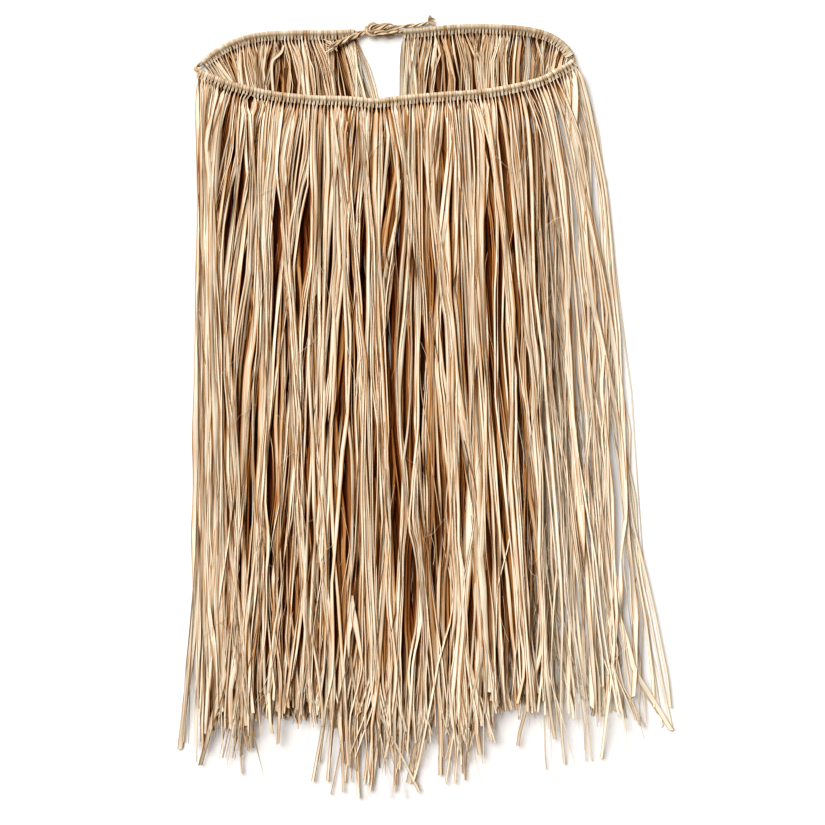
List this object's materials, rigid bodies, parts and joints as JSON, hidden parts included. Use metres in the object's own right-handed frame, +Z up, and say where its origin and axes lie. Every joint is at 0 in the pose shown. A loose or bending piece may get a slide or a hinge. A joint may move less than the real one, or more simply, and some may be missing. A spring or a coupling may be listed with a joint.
{
  "type": "grass skirt",
  "caption": "Raffia grass skirt laid flat: long hanging locks hitched to a waist cord that is tied behind with a knot.",
  "frame": {"origin": "centre of the laid-out skirt's bounding box, on the surface that it lies on", "axes": "+Z up off the surface, +Y from hem to waist, +X to the wearer's left"},
  "size_m": [0.5903, 0.9206, 0.0219],
  "materials": {
    "leaf": "dried split palm leaf, satin, with fine lengthwise grain",
    "leaf_back": "dried split palm leaf seen from inside, satin",
    "cord": "twisted leaf-fibre cord, matte"
  },
  "bodies": {
    "root": {"waist_cord_front": "cord", "waist_cord_back_left": "cord", "waist_cord_back_right": "cord", "knot_left_bight": "cord", "knot_right_bight": "cord", "tie_end_left": "cord", "tie_end_right": "cord", "fringe_front_left": "leaf", "fringe_front_middle": "leaf", "fringe_front_right": "leaf", "fringe_back_left": "leaf_back", "fringe_back_right": "leaf_back"}
  },
  "joints": []
}
